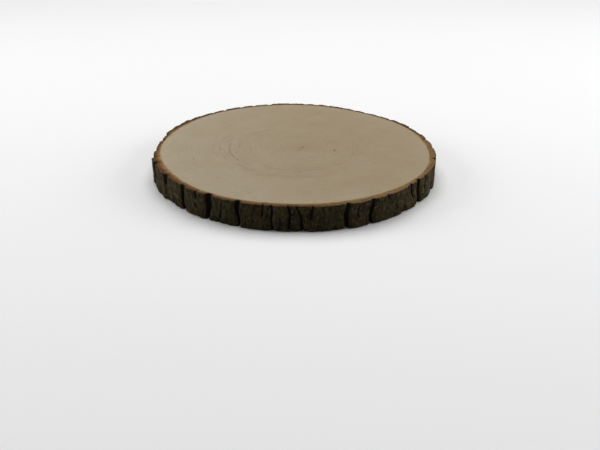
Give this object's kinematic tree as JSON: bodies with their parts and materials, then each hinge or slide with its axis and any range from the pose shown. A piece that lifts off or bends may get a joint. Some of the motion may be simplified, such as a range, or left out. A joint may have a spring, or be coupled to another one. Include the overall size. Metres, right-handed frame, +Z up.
{
  "type": "wood slice",
  "caption": "Flat round cut straight across a trunk, sawn smooth on both faces, with furrowed bark left on its edge.",
  "frame": {"origin": "middle of the underside, at the centre of the slice's outline", "axes": "+Z up through the thickness, -Y towards the viewer of the picture, +X to the viewer's right"},
  "size_m": [0.2806, 0.2822, 0.024],
  "materials": {
    "wood": "sawn and lightly sanded pale wood with faint growth rings, matt",
    "bark": "rough furrowed bark, dark olive brown, quite matt"
  },
  "bodies": {
    "root": {"wood_slice": "wood"}
  },
  "joints": []
}
